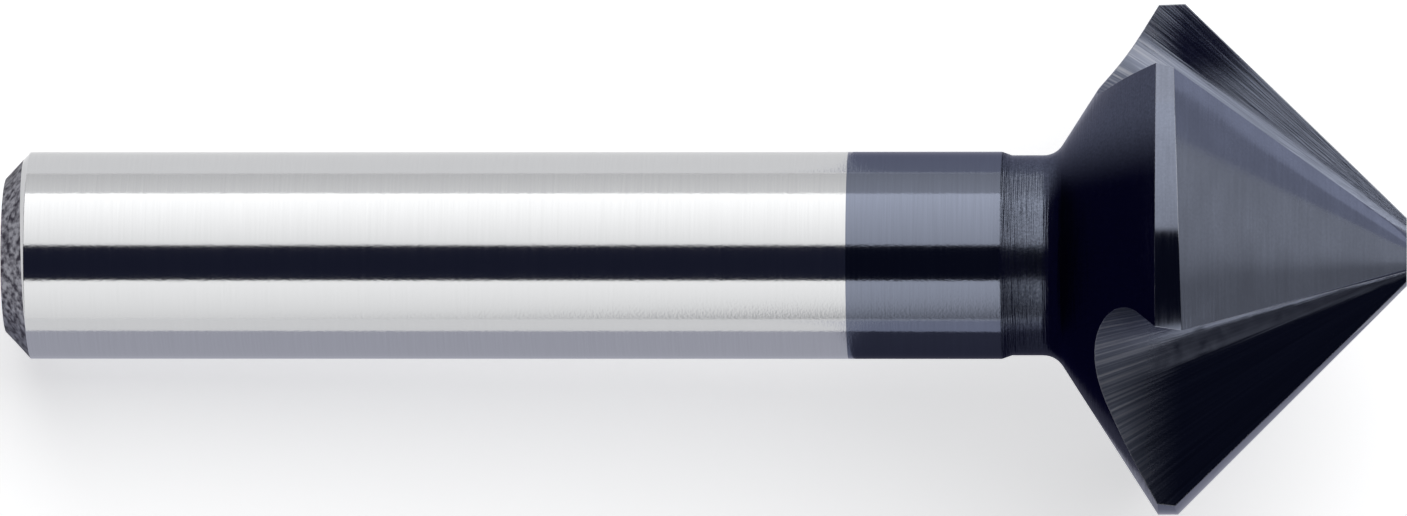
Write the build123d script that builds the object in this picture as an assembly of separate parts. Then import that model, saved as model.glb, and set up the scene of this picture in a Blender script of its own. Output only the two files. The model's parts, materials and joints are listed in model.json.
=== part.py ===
"""Three-flute 90 degree countersink bit, ground from one bar of high speed steel.

It is shaped along +X, from the end of the shank to the point, with one flute facing down.
It is then laid on the flat surface it rests on: that flute bridges the surface, so the bit
lies on two corners of the head and on the rim of the shank, with its point a little raised.
The origin is on that surface, at the middle of the bit's bounding box.
Right-hand cutting. Millimetres and degrees throughout.
"""

import os
from math import atan, cos, degrees, radians, sin, tan

from build123d import *

# ---- Driving dimensions ---------------------------------------------------------------------

# Along the axis, from the end of the shank
LENGTH = 67.6
SHANK_END = 48.1  # end of the ground shank
NECK_START = 48.6
MARGIN_WIDTH = 1.27  # cylindrical land between the cutting cone and the cone behind it

# Across the axis
HEAD_D = 25.0
POINT_D = 3.6
SHANK_D = 10.0
NECK_D = 9.65

POINT_ANGLE = 90.0  # included angle of the cutting cone
BACK_ANGLE = 57.3  # cone behind the head, from the axis
NECK_FILLET = 1.1

# Chamfer on the end of the shank
END_CHAMFER = 1.2
END_FACE_D = 7.45

# Flutes, given where they cross the front edge of the margin
TEETH = 3
FLUTE_SPAN = 58.5  # angle from the cutting edge to the heel of the next tooth
RAKE = 7.5  # undercut of the cutting face, from the radius
HEEL_LEAN = 21.0  # lean of the flute's back wall, from the radius at the heel
GULLET_R = 3.9  # hollow between the cutting face and the back wall
FLUTE_APEX = 1.75  # the flutes taper to an apex this far beyond the point
EDGE_AHEAD = 0.33  # and this far ahead of the axis, so the cutting edges pass beside it

# Relief of each tooth's land, which is ground as a cone set off centre
LAND_RELIEF = 0.4
RELIEF_BEHIND = 60  # the centre moves to this angle behind the cutting edge

# ---- Derived dimensions ---------------------------------------------------------------------

HEAD_R = HEAD_D / 2
POINT_R = POINT_D / 2
SHANK_R = SHANK_D / 2
NECK_R = NECK_D / 2
CONE_SLOPE = tan(radians(POINT_ANGLE / 2))
MARGIN_FRONT = LENGTH - (HEAD_R - POINT_R) / CONE_SLOPE
MARGIN_BACK = MARGIN_FRONT - MARGIN_WIDTH
HEAD_START = MARGIN_BACK - (HEAD_R - NECK_R) / tan(radians(BACK_ANGLE))
PITCH = 360 / TEETH
EDGE_ANGLE = FLUTE_SPAN / 2  # cutting edge, from the middle of its flute


def around(radius, angle):
    """A point of a section across the axis, seen from the shank end.

    The angle starts straight down, in the middle of the lower flute, and grows towards the
    cutting edge of that flute.
    """
    return Vector(radius * sin(radians(angle)), -radius * cos(radians(angle)))


def section_plane(x):
    """The plane across the axis at x, seen from the shank end."""
    return Plane(origin=(x, 0, 0), x_dir=(0, -1, 0), z_dir=(-1, 0, 0))


def blank():
    """All that is turned: chamfered shank, neck, and the head before it is fluted."""
    outline = Polyline(
        (0, 0),
        (0, END_FACE_D / 2),
        (END_CHAMFER, SHANK_R),
        (SHANK_END, SHANK_R),
        (NECK_START, NECK_R),
        (HEAD_START, NECK_R),
        (MARGIN_BACK, HEAD_R),
        (MARGIN_FRONT, HEAD_R),
        (LENGTH, POINT_R),
        (LENGTH, 0),
        (0, 0),
    )
    profile = make_face(outline)
    neck_root = profile.vertices().sort_by_distance((HEAD_START, NECK_R))[0]
    return revolve(fillet(neck_root, NECK_FILLET), Axis.X)


def flute_section(x):
    """A flute cut across at x: cutting face, gullet and back wall, closed outside the head.

    It keeps its form and shrinks towards the flutes' apex, so its walls are true cones.
    """
    face_angle = EDGE_ANGLE - RAKE
    wall_angle = -EDGE_ANGLE - HEEL_LEAN
    out_along_face = around(1, face_angle)
    out_along_wall = around(1, wall_angle)

    # The face and the wall, produced inwards, meet in a sharp root below the gullet
    edge = around(HEAD_R, EDGE_ANGLE)
    chord = around(HEAD_R, -EDGE_ANGLE) - edge
    root_angle = radians(face_angle - wall_angle)
    face_depth = chord.cross(out_along_wall).Z / sin(root_angle)
    root = edge - out_along_face * face_depth

    mid_way = around(1, (face_angle + wall_angle) / 2)
    tangent_length = GULLET_R / tan(root_angle / 2)
    gullet_depth = GULLET_R / sin(root_angle / 2) - GULLET_R
    reach = 2 * HEAD_D
    corners = [
        root + out_along_face * reach,
        root + out_along_face * tangent_length,
        root + mid_way * gullet_depth,
        root + out_along_wall * tangent_length,
        root + out_along_wall * reach,
    ]

    apex = around(EDGE_AHEAD, EDGE_ANGLE - 90)
    apex_x = LENGTH + FLUTE_APEX
    size = (apex_x - x) / (apex_x - MARGIN_FRONT)
    face_top, face_foot, gullet, wall_foot, wall_top = [apex + (p - apex) * size for p in corners]
    outline = [
        Line(face_top, face_foot),
        ThreePointArc(face_foot, gullet, wall_foot),
        Line(wall_foot, wall_top),
        Line(wall_top, face_top),
    ]
    return section_plane(x) * make_face(outline)


def flute():
    """The space of the lower flute, from behind the head to just short of its apex."""
    behind = flute_section(HEAD_START)
    ahead = flute_section(LENGTH + FLUTE_APEX / 2)
    return loft([behind, ahead], ruled=True)


def land_relief():
    """What is ground off one tooth's cutting cone, so that the land falls behind its edge.

    The land is a cone of the same angle, moved off centre and meeting the cutting edge.
    """
    edge = around(HEAD_R, EDGE_ANGLE)
    centre = around(LAND_RELIEF, EDGE_ANGLE - RELIEF_BEHIND)
    land_r = (edge - centre).length
    length = LENGTH + FLUTE_APEX / 2 - MARGIN_BACK
    base_r = land_r + (MARGIN_FRONT - MARGIN_BACK) * CONE_SLOPE
    point_r = base_r - length * CONE_SLOPE
    from_margin = section_plane(MARGIN_BACK) * Rot(X=180)
    sector = from_margin * Rot(Z=90 - PITCH) * Cylinder(HEAD_D, length, arc_size=PITCH, align=None)
    cone = Pos(0, -centre.X, centre.Y) * from_margin * Cone(base_r, point_r, length, align=None)
    return sector - cone


def countersink_bit():
    """The finished bit along +X, with the middle of one flute straight down."""
    bit = blank()
    for tooth in range(TEETH):
        turned = Rot(X=tooth * PITCH)
        bit -= turned * flute()
        bit -= turned * land_relief()
    return bit.solid()


def laid_down(bit):
    """Lays the bit on the rim of its shank and the two head corners beside the lower flute."""
    head_depth = HEAD_R * cos(radians(EDGE_ANGLE))
    tilt = degrees(atan((head_depth - SHANK_R) / (MARGIN_FRONT - END_CHAMFER)))
    lying = Rot(Y=-tilt) * bit
    box = lying.bounding_box()
    return Pos(-box.center().X, -box.center().Y, -box.min.Z) * lying


os.makedirs("parts", exist_ok=True)
part = laid_down(countersink_bit())
part.label = "countersink_bit"
export_step(part, "parts/countersink_bit.step")
print(f"volume {part.volume:.0f} mm3, box {part.bounding_box().size}, valid {part.is_valid}")
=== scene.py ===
"""A three-flute countersink bit lying on a pale floor, lit by the soft boxes of a small studio.

Metres throughout. The bit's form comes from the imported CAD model. This file gives each of its
surfaces the finish that its maker leaves on it, and adds the floor, the lights and the camera.
"""

import json
from math import asin, cos, radians, sin

import bmesh
import bpy
from mathutils import Matrix, Vector


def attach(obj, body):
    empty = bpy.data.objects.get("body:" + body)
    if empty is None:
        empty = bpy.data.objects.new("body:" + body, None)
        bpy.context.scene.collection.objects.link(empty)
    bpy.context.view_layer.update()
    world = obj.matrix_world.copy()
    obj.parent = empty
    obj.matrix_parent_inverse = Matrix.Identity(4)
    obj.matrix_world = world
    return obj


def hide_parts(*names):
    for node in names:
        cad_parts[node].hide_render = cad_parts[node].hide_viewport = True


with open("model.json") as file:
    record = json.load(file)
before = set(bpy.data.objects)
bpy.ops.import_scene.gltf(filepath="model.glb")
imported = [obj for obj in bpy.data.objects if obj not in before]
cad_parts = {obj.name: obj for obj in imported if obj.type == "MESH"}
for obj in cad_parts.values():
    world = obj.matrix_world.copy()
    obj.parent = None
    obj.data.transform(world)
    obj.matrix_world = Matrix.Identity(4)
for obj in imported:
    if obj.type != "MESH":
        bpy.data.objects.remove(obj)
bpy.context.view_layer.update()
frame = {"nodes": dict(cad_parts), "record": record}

# ---- Bit ------------------------------------------------------------------------------------
# One bar of high speed steel: turned, hardened, then ground on the shank, the margin, the lands
# and the flutes. It lies with its point a little raised, along the axis of its shank mount.
solid = frame["nodes"]["countersink_bit"]
shank = frame["record"]["mounts"][0]
shank_length = shank["dims"]["length_mm"] / 1000
end_chamfer = 0.0012
along = -Vector(shank["axis"]).normalized()
tilt = asin(along.z)
shank_end = Vector(shank["pos_m"]) - along * (shank_length / 2 + end_chamfer)
bit_axes = Matrix.Translation(shank_end) @ Matrix.Rotation(-tilt, 4, "Y")

# Places along the bit, from the end of its shank. The coating starts on the shank, where the
# holder covered it. The furnace skin ends on the end chamfer, where the shank was ground a
# little out of line with it.
skin_end = 0.00103
skin_slant = 0.035
coating_start = 0.0407
ground_end = 0.0481
neck_start = 0.0486
back_start = 0.0515
margin_back = 0.05563
margin_front = 0.0569
head_radius = 0.0125

# The corner normals of the CAD surfaces are kept, so that the cuts don't change the shading
merge_distance = 1e-7
form = bmesh.new()
form.from_mesh(solid.data)
smooth_normal = form.loops.layers.float_vector.new("smooth_normal")
corner_normals = [Vector(corner.vector) for corner in solid.data.corner_normals]
for face in form.faces:
    for corner in face.loops:
        corner[smooth_normal] = corner_normals[corner.index]
bmesh.ops.remove_doubles(form, verts=form.verts, dist=merge_distance)
skin_square = along + Vector((0, skin_slant, 0))
for place, square in ((coating_start, along), (skin_end, skin_square)):
    bmesh.ops.bisect_plane(
        form, geom=form.verts[:] + form.edges[:] + form.faces[:],
        plane_co=shank_end + along * place, plane_no=square.normalized(),
    )

wall_turn = 0.3  # the walls of a flute face at least so far sideways
gullet_depth = 0.0009  # its gullet lies at least so deep, below the margin and the lands
cone_facing = -0.5  # the cone behind the head faces further back than this


def is_flute(place, normal):
    """Whether a face of the head, at this place in the bit's axes, was ground with a flute."""
    radial = Vector((0, place.y, place.z))
    if abs(normal.cross(radial.normalized()).x) > wall_turn:
        return True
    if place.x > margin_back:
        blank_radius = head_radius - max(0, place.x - margin_front)
        return radial.length < blank_radius - gullet_depth
    return place.x > back_start and normal.x > cone_facing


def finish_of(place, normal):
    """The finish of a face at this place, with this normal, in the bit's axes."""
    if place.x < skin_end - skin_slant * place.y:
        return "skin"
    if place.x < coating_start:
        return "bright"
    if place.x < ground_end:
        return "coated"
    if is_flute(place, normal):
        return "flute"
    if place.x < margin_back:
        return "turned"
    return "land"


# In the order in which the next sections make them
finishes = ["skin", "bright", "coated", "turned", "land", "flute"]
to_bit = bit_axes.inverted()
turn_to_bit = to_bit.to_3x3()
turn_to_world = turn_to_bit.inverted()
for face in form.faces:
    place = to_bit @ face.calc_center_median()
    normal = turn_to_bit @ face.normal
    face.material_index = finishes.index(finish_of(place, normal))
    face.smooth = True
    # The step down to the neck is rounded
    if ground_end < place.x < neck_start:
        for corner in face.loops:
            corner_place = to_bit @ corner.vert.co
            corner[smooth_normal] = turn_to_world @ Vector((0, corner_place.y, corner_place.z))

mesh = bpy.data.meshes.new("bit")
form.to_mesh(mesh)
form.free()
kept_normals = mesh.attributes["smooth_normal"]
mesh.normals_split_custom_set([Vector(corner.vector).normalized() for corner in kept_normals.data])
mesh.attributes.remove(kept_normals)
bit = bpy.data.objects.new("bit", mesh)
bpy.context.collection.objects.link(bit)
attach(bit, "root")
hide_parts("countersink_bit")

# ---- Skin on the end of the shank -----------------------------------------------------------
# Dark scale of iron oxide, blotchy and rough, from the hardening furnace. It stays on the end
# face and on most of the turned chamfer, which aren't ground.


class Finish:
    """The material of one finish, with the few kinds of node that all of them need."""

    def __init__(self, name, grazing):
        self.material = bpy.data.materials.new(name)
        self.material.use_nodes = True
        self.nodes = self.material.node_tree.nodes
        self.links = self.material.node_tree.links
        self.shader = self.nodes["Principled BSDF"]
        self.shader.inputs["Metallic"].default_value = 1.0
        self.shader.inputs["Specular Tint"].default_value = (*grazing, 1)
        mesh.materials.append(self.material)

    def add(self, kind, settings=(), **inputs):
        """A node, with its settings, and its inputs by name or number: values or other outputs."""
        node = self.nodes.new("ShaderNode" + kind)
        for name, value in dict(settings).items():
            setattr(node, name, value)
        for name, value in inputs.items():
            socket = node.inputs[int(name[1:]) if name[0] == "_" else name.replace("_", " ")]
            if isinstance(value, bpy.types.NodeSocket):
                self.links.new(value, socket)
            else:
                socket.default_value = value
        return node

    def times(self, first, second):
        node = self.add("Math", {"operation": "MULTIPLY"}, _0=first, _1=second)
        return node.outputs["Value"]

    def place_from(self, start):
        """The place of each point of the surface, from this start and along the bit's axes."""
        place = self.nodes.get("place") or self.add("TexCoord", {"name": "place"})
        turned = self.add(
            "Mapping", {"vector_type": "TEXTURE"}, Vector=place.outputs["Object"],
            Location=start, Rotation=(0, -tilt, 0),
        )
        return turned.outputs["Vector"]

    def marks(self, place, size, detail=3):
        """Uneven marks of this size in each direction."""
        sized = self.add("Mapping", {"vector_type": "TEXTURE"}, Vector=place, Scale=size)
        noise = self.add("TexNoise", Vector=sized.outputs["Vector"], Scale=1, Detail=detail)
        return noise.outputs["Fac"]

    def rings(self, width, length):
        """Marks that run round the bar."""
        return self.marks(self.place_from(shank_end), (width, length, length))

    def grain(self, size, detail=3):
        """Marks that are the same size all ways."""
        return self.marks(self.place_from(shank_end), (size, size, size), detail)

    def spread(self, value, low, high, start=0.3, end=0.7):
        """The value's usual range, turned into the range from low to high."""
        ramp = self.add("MapRange", Value=value, From_Min=start, From_Max=end, To_Min=low, To_Max=high)
        return ramp.outputs["Result"]

    def shade(self, value, dark, light):
        """The base colour, from dark to light as the value goes from 0 to 1."""
        self.shader.inputs["Base Color"].default_value = (*dark, 1)
        self.wash(value, light)

    def wash(self, value, colour):
        """Another colour, over the base colour wherever the value is 1."""
        base = self.shader.inputs["Base Color"]
        mix = self.add("Mix", {"data_type": "RGBA"}, _0=value, _7=(*colour, 1))
        if base.is_linked:
            self.links.new(base.links[0].from_socket, mix.inputs[6])
        else:
            mix.inputs[6].default_value = base.default_value
        self.links.new(mix.outputs[2], base)

    def roughen(self, value):
        self.links.new(value, self.shader.inputs["Roughness"])

    def cut(self, *layers, edge=0.00004, edge_highlight=(0.4, 0.41, 0.44)):
        """Relief from layers of (height, depth), and edges slightly rounded, with a painted edge
        highlight that washes their colour lighter.
        """
        normal = self.add("Bevel", {"samples": 6}, Radius=edge).outputs["Normal"]
        flat = self.add("NewGeometry").outputs["Normal"]
        turn = self.add("VectorMath", {"operation": "DOT_PRODUCT"}, _0=normal, _1=flat)
        # Where the rounding turns the normal, the colour is lighter: a painted edge highlight
        self.wash(self.spread(turn.outputs["Value"], 1, 0, start=0.93, end=0.995), edge_highlight)
        for height, depth in layers:
            bump = self.add("Bump", Height=height, Distance=depth, Normal=normal)
            normal = bump.outputs["Normal"]
        self.links.new(normal, self.shader.inputs["Normal"])


dark_scale = (0.07, 0.065, 0.085)
light_scale = (0.36, 0.36, 0.4)
scale_roughness = (0.5, 0.35)
blotch_size = 0.0003
blotch_depth = 0.00004

skin = Finish("furnace_skin", grazing=(0.5, 0.5, 0.5))
blotches = skin.grain(blotch_size, detail=2)
skin.shade(skin.spread(blotches, 0, 1, start=0.35, end=0.65), dark_scale, light_scale)
skin.roughen(skin.spread(blotches, *scale_roughness))
skin.cut((blotches, blotch_depth))

# ---- Ground shank ---------------------------------------------------------------------------
# Bright bare steel, ground true between two wheels after it was hardened. The wheels leave very
# fine rings and a faint grain.
steel = (0.6, 0.605, 0.615)
# Lighter steel on the edges: a painted edge highlight
steel_edge_highlight = (0.7, 0.7, 0.72)
ground_roughness = (0.07, 0.11)
ring_width = 0.00008
ring_length = 0.004
ring_depth = 0.0000005
grain_size = 0.00012
grain_depth = 0.0000015


def shades(colour, by):
    """A darker and a lighter shade of a colour."""
    return [channel * (1 - by) for channel in colour], [channel * (1 + by) for channel in colour]


def grind(finish, colour, by):
    """Colours and polishes a ground shank, and gives the layers of its marks."""
    rings = finish.rings(ring_width, ring_length)
    grain = finish.grain(grain_size, detail=1)
    finish.shade(finish.spread(rings, 0, 1), *shades(colour, by))
    finish.roughen(finish.spread(rings, *ground_roughness))
    return (rings, ring_depth), (grain, grain_depth)


bright = Finish("ground_steel", grazing=(0.9, 0.9, 0.9))
bright.cut(*grind(bright, steel, by=0.02), edge_highlight=steel_edge_highlight)

# ---- Coated shank ---------------------------------------------------------------------------
# The front of the same ground shank, under a hard blue-black coating that is laid on from a
# vapour. It is so thin that the marks of the grinding show through.
coating = (0.172, 0.19, 0.245)
coating_grazing = (0.6, 0.6, 0.65)

coated = Finish("coated_shank", coating_grazing)
coated.cut(*grind(coated, coating, by=0.05))

# ---- Turned neck and back of the head -------------------------------------------------------
# Turned on the lathe before the hardening and never ground, so that the steel under the coating
# is matter. It keeps the rings of the turning tool, and small specks.
dull_coating = (0.127, 0.142, 0.184)
turned_roughness = (0.16, 0.24)
tool_ring_length = 0.002
tool_ring_depth = 0.000016
speck_size = 0.00012
speck_depth = 0.000003

turned = Finish("coated_turned", coating_grazing)
rings = turned.rings(ring_width, tool_ring_length)
specks = turned.grain(speck_size)
turned.shade(turned.spread(specks, 0, 1), *shades(dull_coating, by=0.25))
turned.roughen(turned.spread(rings, *turned_roughness))
turned.cut((rings, tool_ring_depth), (specks, speck_depth))

# ---- Margin and lands -----------------------------------------------------------------------
# Ground after the hardening, the margin as a cylinder and each land with its relief, and then
# coated. The wheel leaves fine rings, and the coating is darker in a fine grain and in clouds.
deep_coating = shades(coating, by=0.4)[0]
land_ring_width = 0.0001
land_ring_depth = 0.000001
cloud_size = (0.0012, 0.0025, 0.0025)

land = Finish("coated_ground", coating_grazing)
rings = land.rings(land_ring_width, ring_length)
grain = land.grain(grain_size)
clouds = land.marks(land.place_from(shank_end), cloud_size, detail=1)
land.shade(land.spread(rings, 0, 1), *shades(coating, by=0.06))
land.wash(land.spread(grain, 0, 0.3), deep_coating)
land.wash(land.spread(clouds, 0.25, 0), deep_coating)
land.roughen(land.spread(rings, *ground_roughness))
land.cut((rings, land_ring_depth))

# ---- Flutes ---------------------------------------------------------------------------------
# Ground with the edge of a wheel after the hardening, and then coated. The wheel's marks run
# along each flute towards its apex, and are coarser where it ran out behind the head.
apex = 0.06935  # from the shank end
run_out = -0.0158  # from the apex
head_front = -0.0125
front_coarseness = 0.06
front_relief = 0.18
# Colour of the painted highlight on the marks near the run-out
mark_highlight = (0.34, 0.35, 0.39)
# The widths of the marks are slopes away from the axis, because they narrow towards the apex
fine_mark = (0.01, 0.01, 0.012)
wide_mark = (0.025, 0.025, 0.02)
mark_depth = 0.00002
fine_roughness = (0.07, 0.12)
coarse_roughness = 0.35
flute_edge = 0.00008

flute = Finish("coated_flute", coating_grazing)
axes = flute.add("SeparateXYZ", Vector=flute.place_from(shank_end + along * apex))
ray_y = flute.add("Math", {"operation": "DIVIDE"}, _0=axes.outputs["Y"], _1=axes.outputs["X"])
ray_z = flute.add("Math", {"operation": "DIVIDE"}, _0=axes.outputs["Z"], _1=axes.outputs["X"])
ray = flute.add("CombineXYZ", X=ray_y.outputs["Value"], Y=ray_z.outputs["Value"], Z=axes.outputs["X"])
coarse = flute.spread(axes.outputs["X"], 1, front_coarseness, start=run_out, end=head_front)
relief = flute.spread(axes.outputs["X"], 1, front_relief, start=run_out, end=head_front)
fine_marks = flute.marks(ray.outputs["Vector"], fine_mark)
wide_marks = flute.marks(ray.outputs["Vector"], wide_mark)
flute.shade(flute.spread(fine_marks, 0, 1), *shades(coating, by=0.2))
# Lighter lines along the marks, strongest at the run-out and fading towards the front. The marks are
# real, and their lighter colour is a painted highlight.
highlit_lines = flute.spread(fine_marks, 0, 1, start=0.45, end=0.65)
flute.wash(flute.times(highlit_lines, coarse), mark_highlight)
polish = flute.spread(fine_marks, *fine_roughness)
roughness = flute.add(
    "Math", {"operation": "MULTIPLY_ADD"}, _0=coarse, _1=coarse_roughness, _2=polish,
)
flute.roughen(roughness.outputs["Value"])
fine_height = flute.times(fine_marks, relief)
wide_height = flute.times(wide_marks, relief)
flute.cut((fine_height, mark_depth), (wide_height, mark_depth), edge=flute_edge)

# ---- Floor ----------------------------------------------------------------------------------
# Plain matt white card, larger than any view of it. It looks a little whiter than it is lit,
# both to the camera and in the metal, and it keeps the bit's shadow.
floor_reach = 8
card_white = (0.92, 0.92, 0.92)
camera_lift = 0.14
metal_lift = 0.43

floor_form = bmesh.new()
bmesh.ops.create_grid(floor_form, x_segments=1, y_segments=1, size=floor_reach)
floor_mesh = bpy.data.meshes.new("floor")
floor_form.to_mesh(floor_mesh)
floor_form.free()
floor = bpy.data.objects.new("floor", floor_mesh)
bpy.context.collection.objects.link(floor)
white_card = bpy.data.materials.new("white_card")
white_card.use_nodes = True
card_nodes = white_card.node_tree.nodes
card_links = white_card.node_tree.links
card_shader = card_nodes["Principled BSDF"]
card_shader.inputs["Base Color"].default_value = (*card_white, 1)
card_shader.inputs["Roughness"].default_value = 1.0
card_shader.inputs["Specular IOR Level"].default_value = 0.0
card_shader.inputs["Emission Color"].default_value = (1, 1, 1, 1)
path = card_nodes.new("ShaderNodeLightPath")
seen = card_nodes.new("ShaderNodeMath")
seen.operation = "MAXIMUM"
card_links.new(path.outputs["Is Camera Ray"], seen.inputs[0])
card_links.new(path.outputs["Is Glossy Ray"], seen.inputs[1])
seen_lift = card_nodes.new("ShaderNodeMath")
seen_lift.operation = "MULTIPLY"
seen_lift.inputs[1].default_value = metal_lift
card_links.new(seen.outputs["Value"], seen_lift.inputs[0])
lift = card_nodes.new("ShaderNodeMath")
lift.operation = "MULTIPLY_ADD"
lift.inputs[1].default_value = camera_lift
card_links.new(path.outputs["Is Camera Ray"], lift.inputs[0])
card_links.new(seen_lift.outputs["Value"], lift.inputs[2])
card_links.new(lift.outputs["Value"], card_shader.inputs["Emission Strength"])
floor_mesh.materials.append(white_card)

# ---- Light ----------------------------------------------------------------------------------
# Long soft boxes of white cloth hang on both sides of the bit, in line with it. The gap between
# them, where the camera looks through, is dark, and so is the studio behind the shank.
studio_dark = (0.012, 0.014, 0.03)
studio = bpy.data.worlds.new("studio")
bpy.context.scene.world = studio
studio.use_nodes = True
nodes = studio.node_tree.nodes
links = studio.node_tree.links


def reckon(operation, *values):
    """A number worked out from other numbers, each a value or the output of a node."""
    node = nodes.new("ShaderNodeMath")
    node.operation = operation
    for socket, value in zip(node.inputs, values):
        if isinstance(value, bpy.types.NodeSocket):
            links.new(value, socket)
        else:
            socket.default_value = value
    return node.outputs["Value"]


def set_range(node, *numbers):
    for socket, number in zip(("From Min", "From Max", "To Min", "To Max"), numbers):
        node.inputs[socket].default_value = number


def ramp(value, start, end, low, high, soft=True):
    """Goes from low to high as the value goes from start to end."""
    node = nodes.new("ShaderNodeMapRange")
    node.interpolation_type = "SMOOTHSTEP" if soft else "LINEAR"
    links.new(value, node.inputs["Value"])
    set_range(node, start, end, low, high)
    return node.outputs["Result"]


direction = nodes.new("ShaderNodeTexCoord")
world_axes = nodes.new("ShaderNodeSeparateXYZ")
links.new(direction.outputs["Generated"], world_axes.inputs["Vector"])
# Height above the horizon on the near side, in radians, over the top to the far side
height = reckon("ARCTAN2", world_axes.outputs["Z"], reckon("MULTIPLY", world_axes.outputs["Y"], -1))
lean = reckon("ARCSINE", world_axes.outputs["X"])  # towards the point of the bit


def soft_box(heights, levels, leans, blurs=(0.5, 0.5), side_blurs=(4, 4), skew=0.0):
    """The light of one soft box, its outline given in degrees of height and of lean.

    With a skew, its top edge is not in line with the bit.
    """
    low, high = (radians(angle) for angle in heights)
    low_blur, high_blur = (radians(angle) for angle in blurs)
    back, front = (radians(angle) for angle in leans)
    back_blur, front_blur = (radians(angle) for angle in side_blurs)
    skewed = reckon("ADD", height, reckon("MULTIPLY", lean, skew))
    light = ramp(height, low, high, *levels, soft=False)
    for value, start, end in (
        (height, low - low_blur, low + low_blur), (skewed, high + high_blur, high - high_blur),
        (lean, back - back_blur, back + back_blur), (lean, front + front_blur, front - front_blur),
    ):
        light = reckon("MULTIPLY", light, ramp(value, start, end, 0, 1))
    return light


high_far_box = soft_box(
    heights=(86.9, 148.1), levels=(1.15, 1.75), leans=(-25, 60),
    blurs=(1.6, 0.4), side_blurs=(3, 4), skew=0.17,
)
low_far_box = soft_box(
    heights=(148.7, 184), levels=(0.92, 0.72), leans=(-25, 58), side_blurs=(3, 4),
)
# The near side is bright beside the shank and dim beside the head
near_heights = (-5, 47.4)
near_blurs = (0.5, 0.8)
near_box = soft_box(
    heights=near_heights, levels=(1.0, 1.35), leans=(-13, -2.2),
    blurs=near_blurs, side_blurs=(4, 2),
)
dim_near_box = soft_box(
    heights=near_heights, levels=(0.28, 0.32), leans=(-2.2, 39),
    blurs=near_blurs, side_blurs=(2, 4),
)
# The far end of the studio, beyond the point of the bit, is lighter towards the far side
end_wall_heights = (radians(30), radians(155))
end_wall_levels = (0.42, 0.82)
end_wall_edge = (radians(57), radians(64))
end_wall = ramp(height, *end_wall_heights, *end_wall_levels)
total = reckon("MULTIPLY", end_wall, ramp(lean, *end_wall_edge, 0, 1))
for light in (high_far_box, low_far_box, near_box, dim_near_box):
    total = reckon("ADD", total, light)
lit = nodes.new("ShaderNodeMix")
lit.data_type = "RGBA"
lit.clamp_factor = False
lit.inputs[6].default_value = (*studio_dark, 1)
lit.inputs[7].default_value = (1, 1, 1, 1)
links.new(total, lit.inputs[0])
links.new(lit.outputs[2], nodes["Background"].inputs["Color"])
nodes["Background"].inputs["Strength"].default_value = 1

# ---- Cards round the bit --------------------------------------------------------------------
# Cards that lie and stand round the bit and glow, though they are no lamps. Only the metal sees them,
# so they are painted reflections: the darker ones are painted shade and the lighter ones painted
# highlight, in what its polished surfaces mirror instead of the floor and the boxes.
# Tints of the glow of the painted reflections
cool_reflection = (0.95, 0.97, 1.06)
pale_reflection = (1, 0.985, 0.94)
dimmest_reflection = (0.005, 0.004, 0.036)
card_lift = 0.0002  # off the floor


def metal_card(name, corners, level, far_level=0, fade=None, tint=cool_reflection):
    """A card that only the metal sees, glowing as bright as its level and never quite black: a painted
    reflection.

    With a fade, its level changes to the far level between these two places across the bit.
    """
    card_form = bmesh.new()
    bmesh.ops.contextual_create(card_form, geom=[card_form.verts.new(corner) for corner in corners])
    card_mesh = bpy.data.meshes.new(name)
    card_form.to_mesh(card_mesh)
    card_form.free()
    card = bpy.data.objects.new(name, card_mesh)
    bpy.context.collection.objects.link(card)
    card.visible_camera = False
    card.visible_diffuse = False
    card.visible_transmission = False
    card.visible_shadow = False
    reflection = bpy.data.materials.new(name)
    reflection.use_nodes = True
    reflection.cycles.emission_sampling = "NONE"
    reflection_nodes = reflection.node_tree.nodes
    reflection_links = reflection.node_tree.links
    reflection_shader = reflection_nodes["Principled BSDF"]
    reflection_shader.inputs["Base Color"].default_value = (0, 0, 0, 1)
    reflection_shader.inputs["Specular IOR Level"].default_value = 0.0
    reflection_shader.inputs["Emission Strength"].default_value = 1.0
    glow = reflection_nodes.new("ShaderNodeVectorMath")
    glow.operation = "MULTIPLY_ADD"
    glow.inputs[0].default_value = (level, level, level)
    glow.inputs[1].default_value = tint
    glow.inputs[2].default_value = dimmest_reflection
    reflection_links.new(glow.outputs["Vector"], reflection_shader.inputs["Emission Color"])
    if fade:
        place = reflection_nodes.new("ShaderNodeTexCoord")
        split = reflection_nodes.new("ShaderNodeSeparateXYZ")
        graded = reflection_nodes.new("ShaderNodeMapRange")
        graded.interpolation_type = "SMOOTHSTEP"
        set_range(graded, *fade, level, far_level)
        reflection_links.new(place.outputs["Object"], split.inputs["Vector"])
        reflection_links.new(split.outputs["Y"], graded.inputs["Value"])
        reflection_links.new(graded.outputs["Result"], glow.inputs[0])
    card_mesh.materials.append(reflection)


def on_floor(*corners):
    return [(*corner, card_lift) for corner in corners]


def across_bit(place, sides, heights):
    """A card square to the bit at this place along it, between two sides and two heights."""
    (near, far), (low, high) = sides, heights
    corners = ((near, low), (near, high), (far, high), (far, low))
    return [bit_axes @ Vector((place, side, up)) for side, up in corners]


def beside_bit(side, places, heights):
    """A card in line with the bit and this far beside it, between two places and two heights."""
    (back, front), (low, high) = places, heights
    corners = ((back, low), (front, low), (front, high), (back, high))
    return [bit_axes @ Vector((place, side, up)) for place, up in corners]
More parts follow.
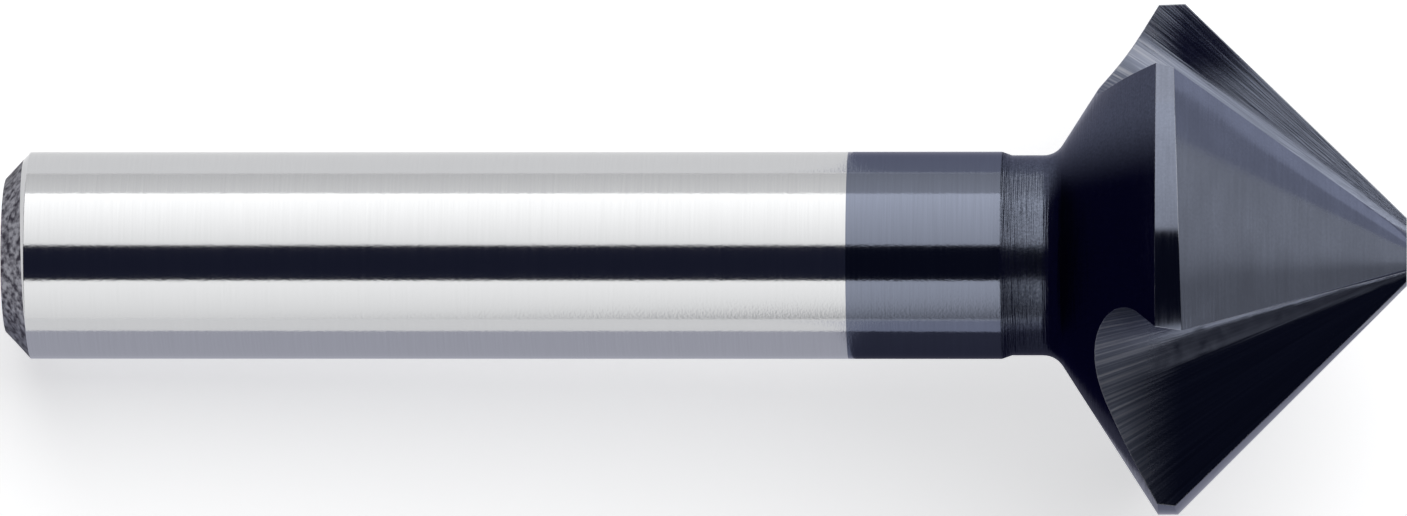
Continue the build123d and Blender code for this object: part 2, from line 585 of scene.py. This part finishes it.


# On the floor below the shank, the neck and the head, and on towards the walls of the studio.
# The slanting edges are the ones that the camera sees mirrored along the start of the coating.
# In the metal these cards show the floor darker than it is lit: painted shade, mostly standing in for
# the bit's shade on the floor near it.
shank_card_back = -0.042
shank_card_near = -0.0253
coating_edge = 0.0081
near_coating_edge = 0.0068
near_wall_coating_edge = -0.002
far_wall_coating_edge = -0.0047
near_edge = -0.0403
head_card_back = 0.019
head_card_front = 0.036
head_card_near = -0.018
far_head_back = 0.06
far_head_front = 0.1
near_wall = -0.3
near_head_wall = -0.1
point_wall = 0.4
far_wall = 0.4
end_wall_corner = 1.5
metal_card("near_shank_card", on_floor(
    (shank_card_back, 0), (shank_card_back, shank_card_near),
    (near_coating_edge, near_edge), (coating_edge, 0),
), level=0.5)
metal_card("near_neck_card", on_floor(
    (coating_edge, 0), (near_coating_edge, near_edge),
    (head_card_back, near_edge), (head_card_back, 0),
), level=0.1)
metal_card("near_coating_card", on_floor(
    (near_coating_edge, near_edge), (near_wall_coating_edge, near_wall),
    (head_card_back, near_wall), (head_card_back, near_edge),
), level=0.7)
metal_card("head_card", on_floor(
    (head_card_back, 0), (head_card_back, head_card_near),
    (head_card_front, head_card_near), (head_card_front, 0),
), level=0.5)
metal_card("near_head_card", on_floor(
    (head_card_back, head_card_near), (head_card_back, near_head_wall),
    (point_wall, near_head_wall), (point_wall, head_card_near),
), level=0.2)
metal_card("far_neck_card", on_floor(
    (coating_edge, 0), (far_head_back, 0),
    (far_head_back, far_wall), (far_wall_coating_edge, far_wall),
), level=0.55)
metal_card("far_head_card", on_floor(
    (far_head_back, 0), (far_head_front, 0), (far_head_front, far_wall), (far_head_back, far_wall),
), level=0.95)
metal_card("far_end_card", on_floor(
    (far_head_front, 0), (end_wall_corner, 0),
    (end_wall_corner, end_wall_corner), (far_head_front, end_wall_corner),
), level=0.62)

# Across the start of the neck, edge on to the shank: painted shade for the back of the head, nearly
# black on the near side and lighter on the far side
flag_gap = 0.00005
metal_card(
    "neck_flag", across_bit(ground_end + flag_gap, sides=(-0.03, 0.03), heights=(-0.009, 0.0115)),
    level=0.002, far_level=0.42, fade=(0.003, 0.0092),
)
# Pale and glowing brighter than white, on the far side: a painted highlight for the margin and the
# neck
metal_card(
    "margin_card", beside_bit(0.05, places=(0.0515, 0.061), heights=(-0.002, 0.04)),
    level=1.72, tint=pale_reflection,
)
# Above the far flute: painted shade, nearly black, for its cutting face beside the margin
metal_card(
    "high_flag", across_bit(0.05, sides=(0.0084, 0.0125), heights=(0.015, 0.0335)), level=0.015,
)

# ---- Camera ---------------------------------------------------------------------------------
# It looks down on the bit, square to its axis and a little nearer to the point than to the
# middle, with the bit level in the picture.
picture_width = 1407  # pixels
pixels_per_metre = 20730
sensor_width = 36
elevation = radians(75.85)
distance = 0.800
level_with = 0.0665  # from the shank end
aimed_at = 0.0337
lower = 0.00013
square_up = Vector((-along.z, 0, along.x))
up = Vector((0, 1, 0)) * sin(elevation) + square_up * cos(elevation)
out = Vector((0, -1, 0)) * cos(elevation) + square_up * sin(elevation)
eye = shank_end + along * level_with + out * distance - up * lower
target = shank_end + along * aimed_at - up * lower
look = (target - eye).normalized()
right = look.cross(up).normalized()
true_up = right.cross(look)
camera_data = bpy.data.cameras.new("camera")
camera_data.sensor_width = sensor_width
camera_data.lens = sensor_width * pixels_per_metre * (target - eye).length / picture_width
camera = bpy.data.objects.new("camera", camera_data)
bpy.context.collection.objects.link(camera)
camera.matrix_world = Matrix((
    (right.x, true_up.x, -look.x, eye.x),
    (right.y, true_up.y, -look.y, eye.y),
    (right.z, true_up.z, -look.z, eye.z),
    (0, 0, 0, 1),
))
bpy.context.scene.camera = camera
bpy.context.scene.view_settings.view_transform = "Standard"
